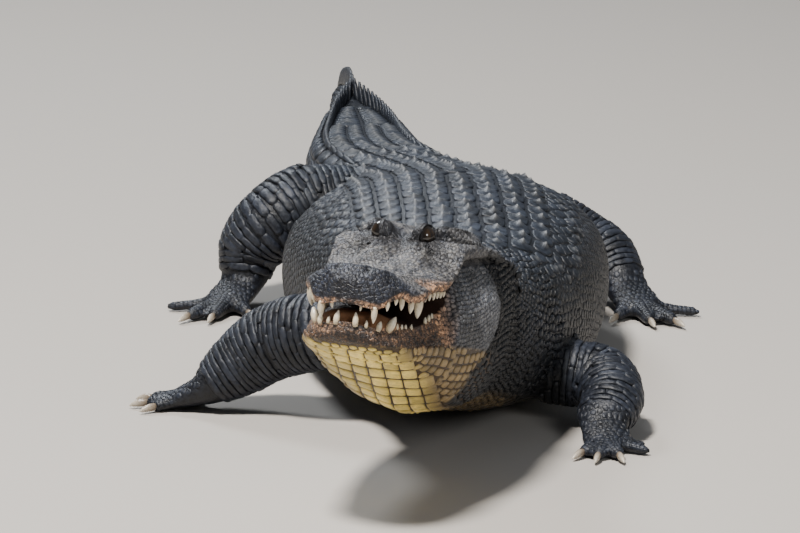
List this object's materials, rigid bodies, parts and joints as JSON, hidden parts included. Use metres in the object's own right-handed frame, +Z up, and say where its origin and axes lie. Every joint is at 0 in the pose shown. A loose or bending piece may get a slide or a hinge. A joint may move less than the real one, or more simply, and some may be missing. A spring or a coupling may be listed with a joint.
{
  "type": "american alligator, life-size still model",
  "caption": "Stout alligator lying on its belly with its head raised and turned, mouth slightly open, legs spread and tail behind.",
  "frame": {"origin": "on the floor under the middle of the trunk, in the flat of the belly", "axes": "+Z up, the animal faces -Y and its tail runs to +Y, +X is to its left"},
  "size_m": [0.8348, 2.8544, 0.378],
  "materials": {
    "hide": "blackish slate scales with greyer keels, satin",
    "throat": "pale yellow throat scales with dark brown seams, satin",
    "horn": "ivory teeth and pale horn claws, lightly polished",
    "eye": "dark brown wet eye, glossy"
  },
  "bodies": {
    "root": {"head": "hide", "lower_jaw": "throat", "eye_left": "eye", "eye_right": "eye", "ear_left": "hide", "ear_right": "hide", "neck": "hide", "trunk": "hide", "tail_base": "hide", "tail_middle": "hide", "tail_rear": "hide", "tail_tip": "hide", "upper_arm_left": "hide", "forearm_left": "hide", "front_foot_left": "hide", "upper_arm_right": "hide", "forearm_right": "hide", "front_foot_right": "hide", "thigh_left": "hide", "shank_left": "hide", "hind_foot_left": "hide", "thigh_right": "hide", "shank_right": "hide", "hind_foot_right": "hide", "front_foot_left_claw_1": "horn", "front_foot_left_claw_2": "horn", "front_foot_left_claw_3": "horn", "front_foot_right_claw_1": "horn", "front_foot_right_claw_2": "horn", "front_foot_right_claw_3": "horn", "hind_foot_left_claw_1": "horn", "hind_foot_left_claw_2": "horn", "hind_foot_left_claw_3": "horn", "hind_foot_right_claw_1": "horn", "hind_foot_right_claw_2": "horn", "hind_foot_right_claw_3": "horn"}
  },
  "joints": []
}
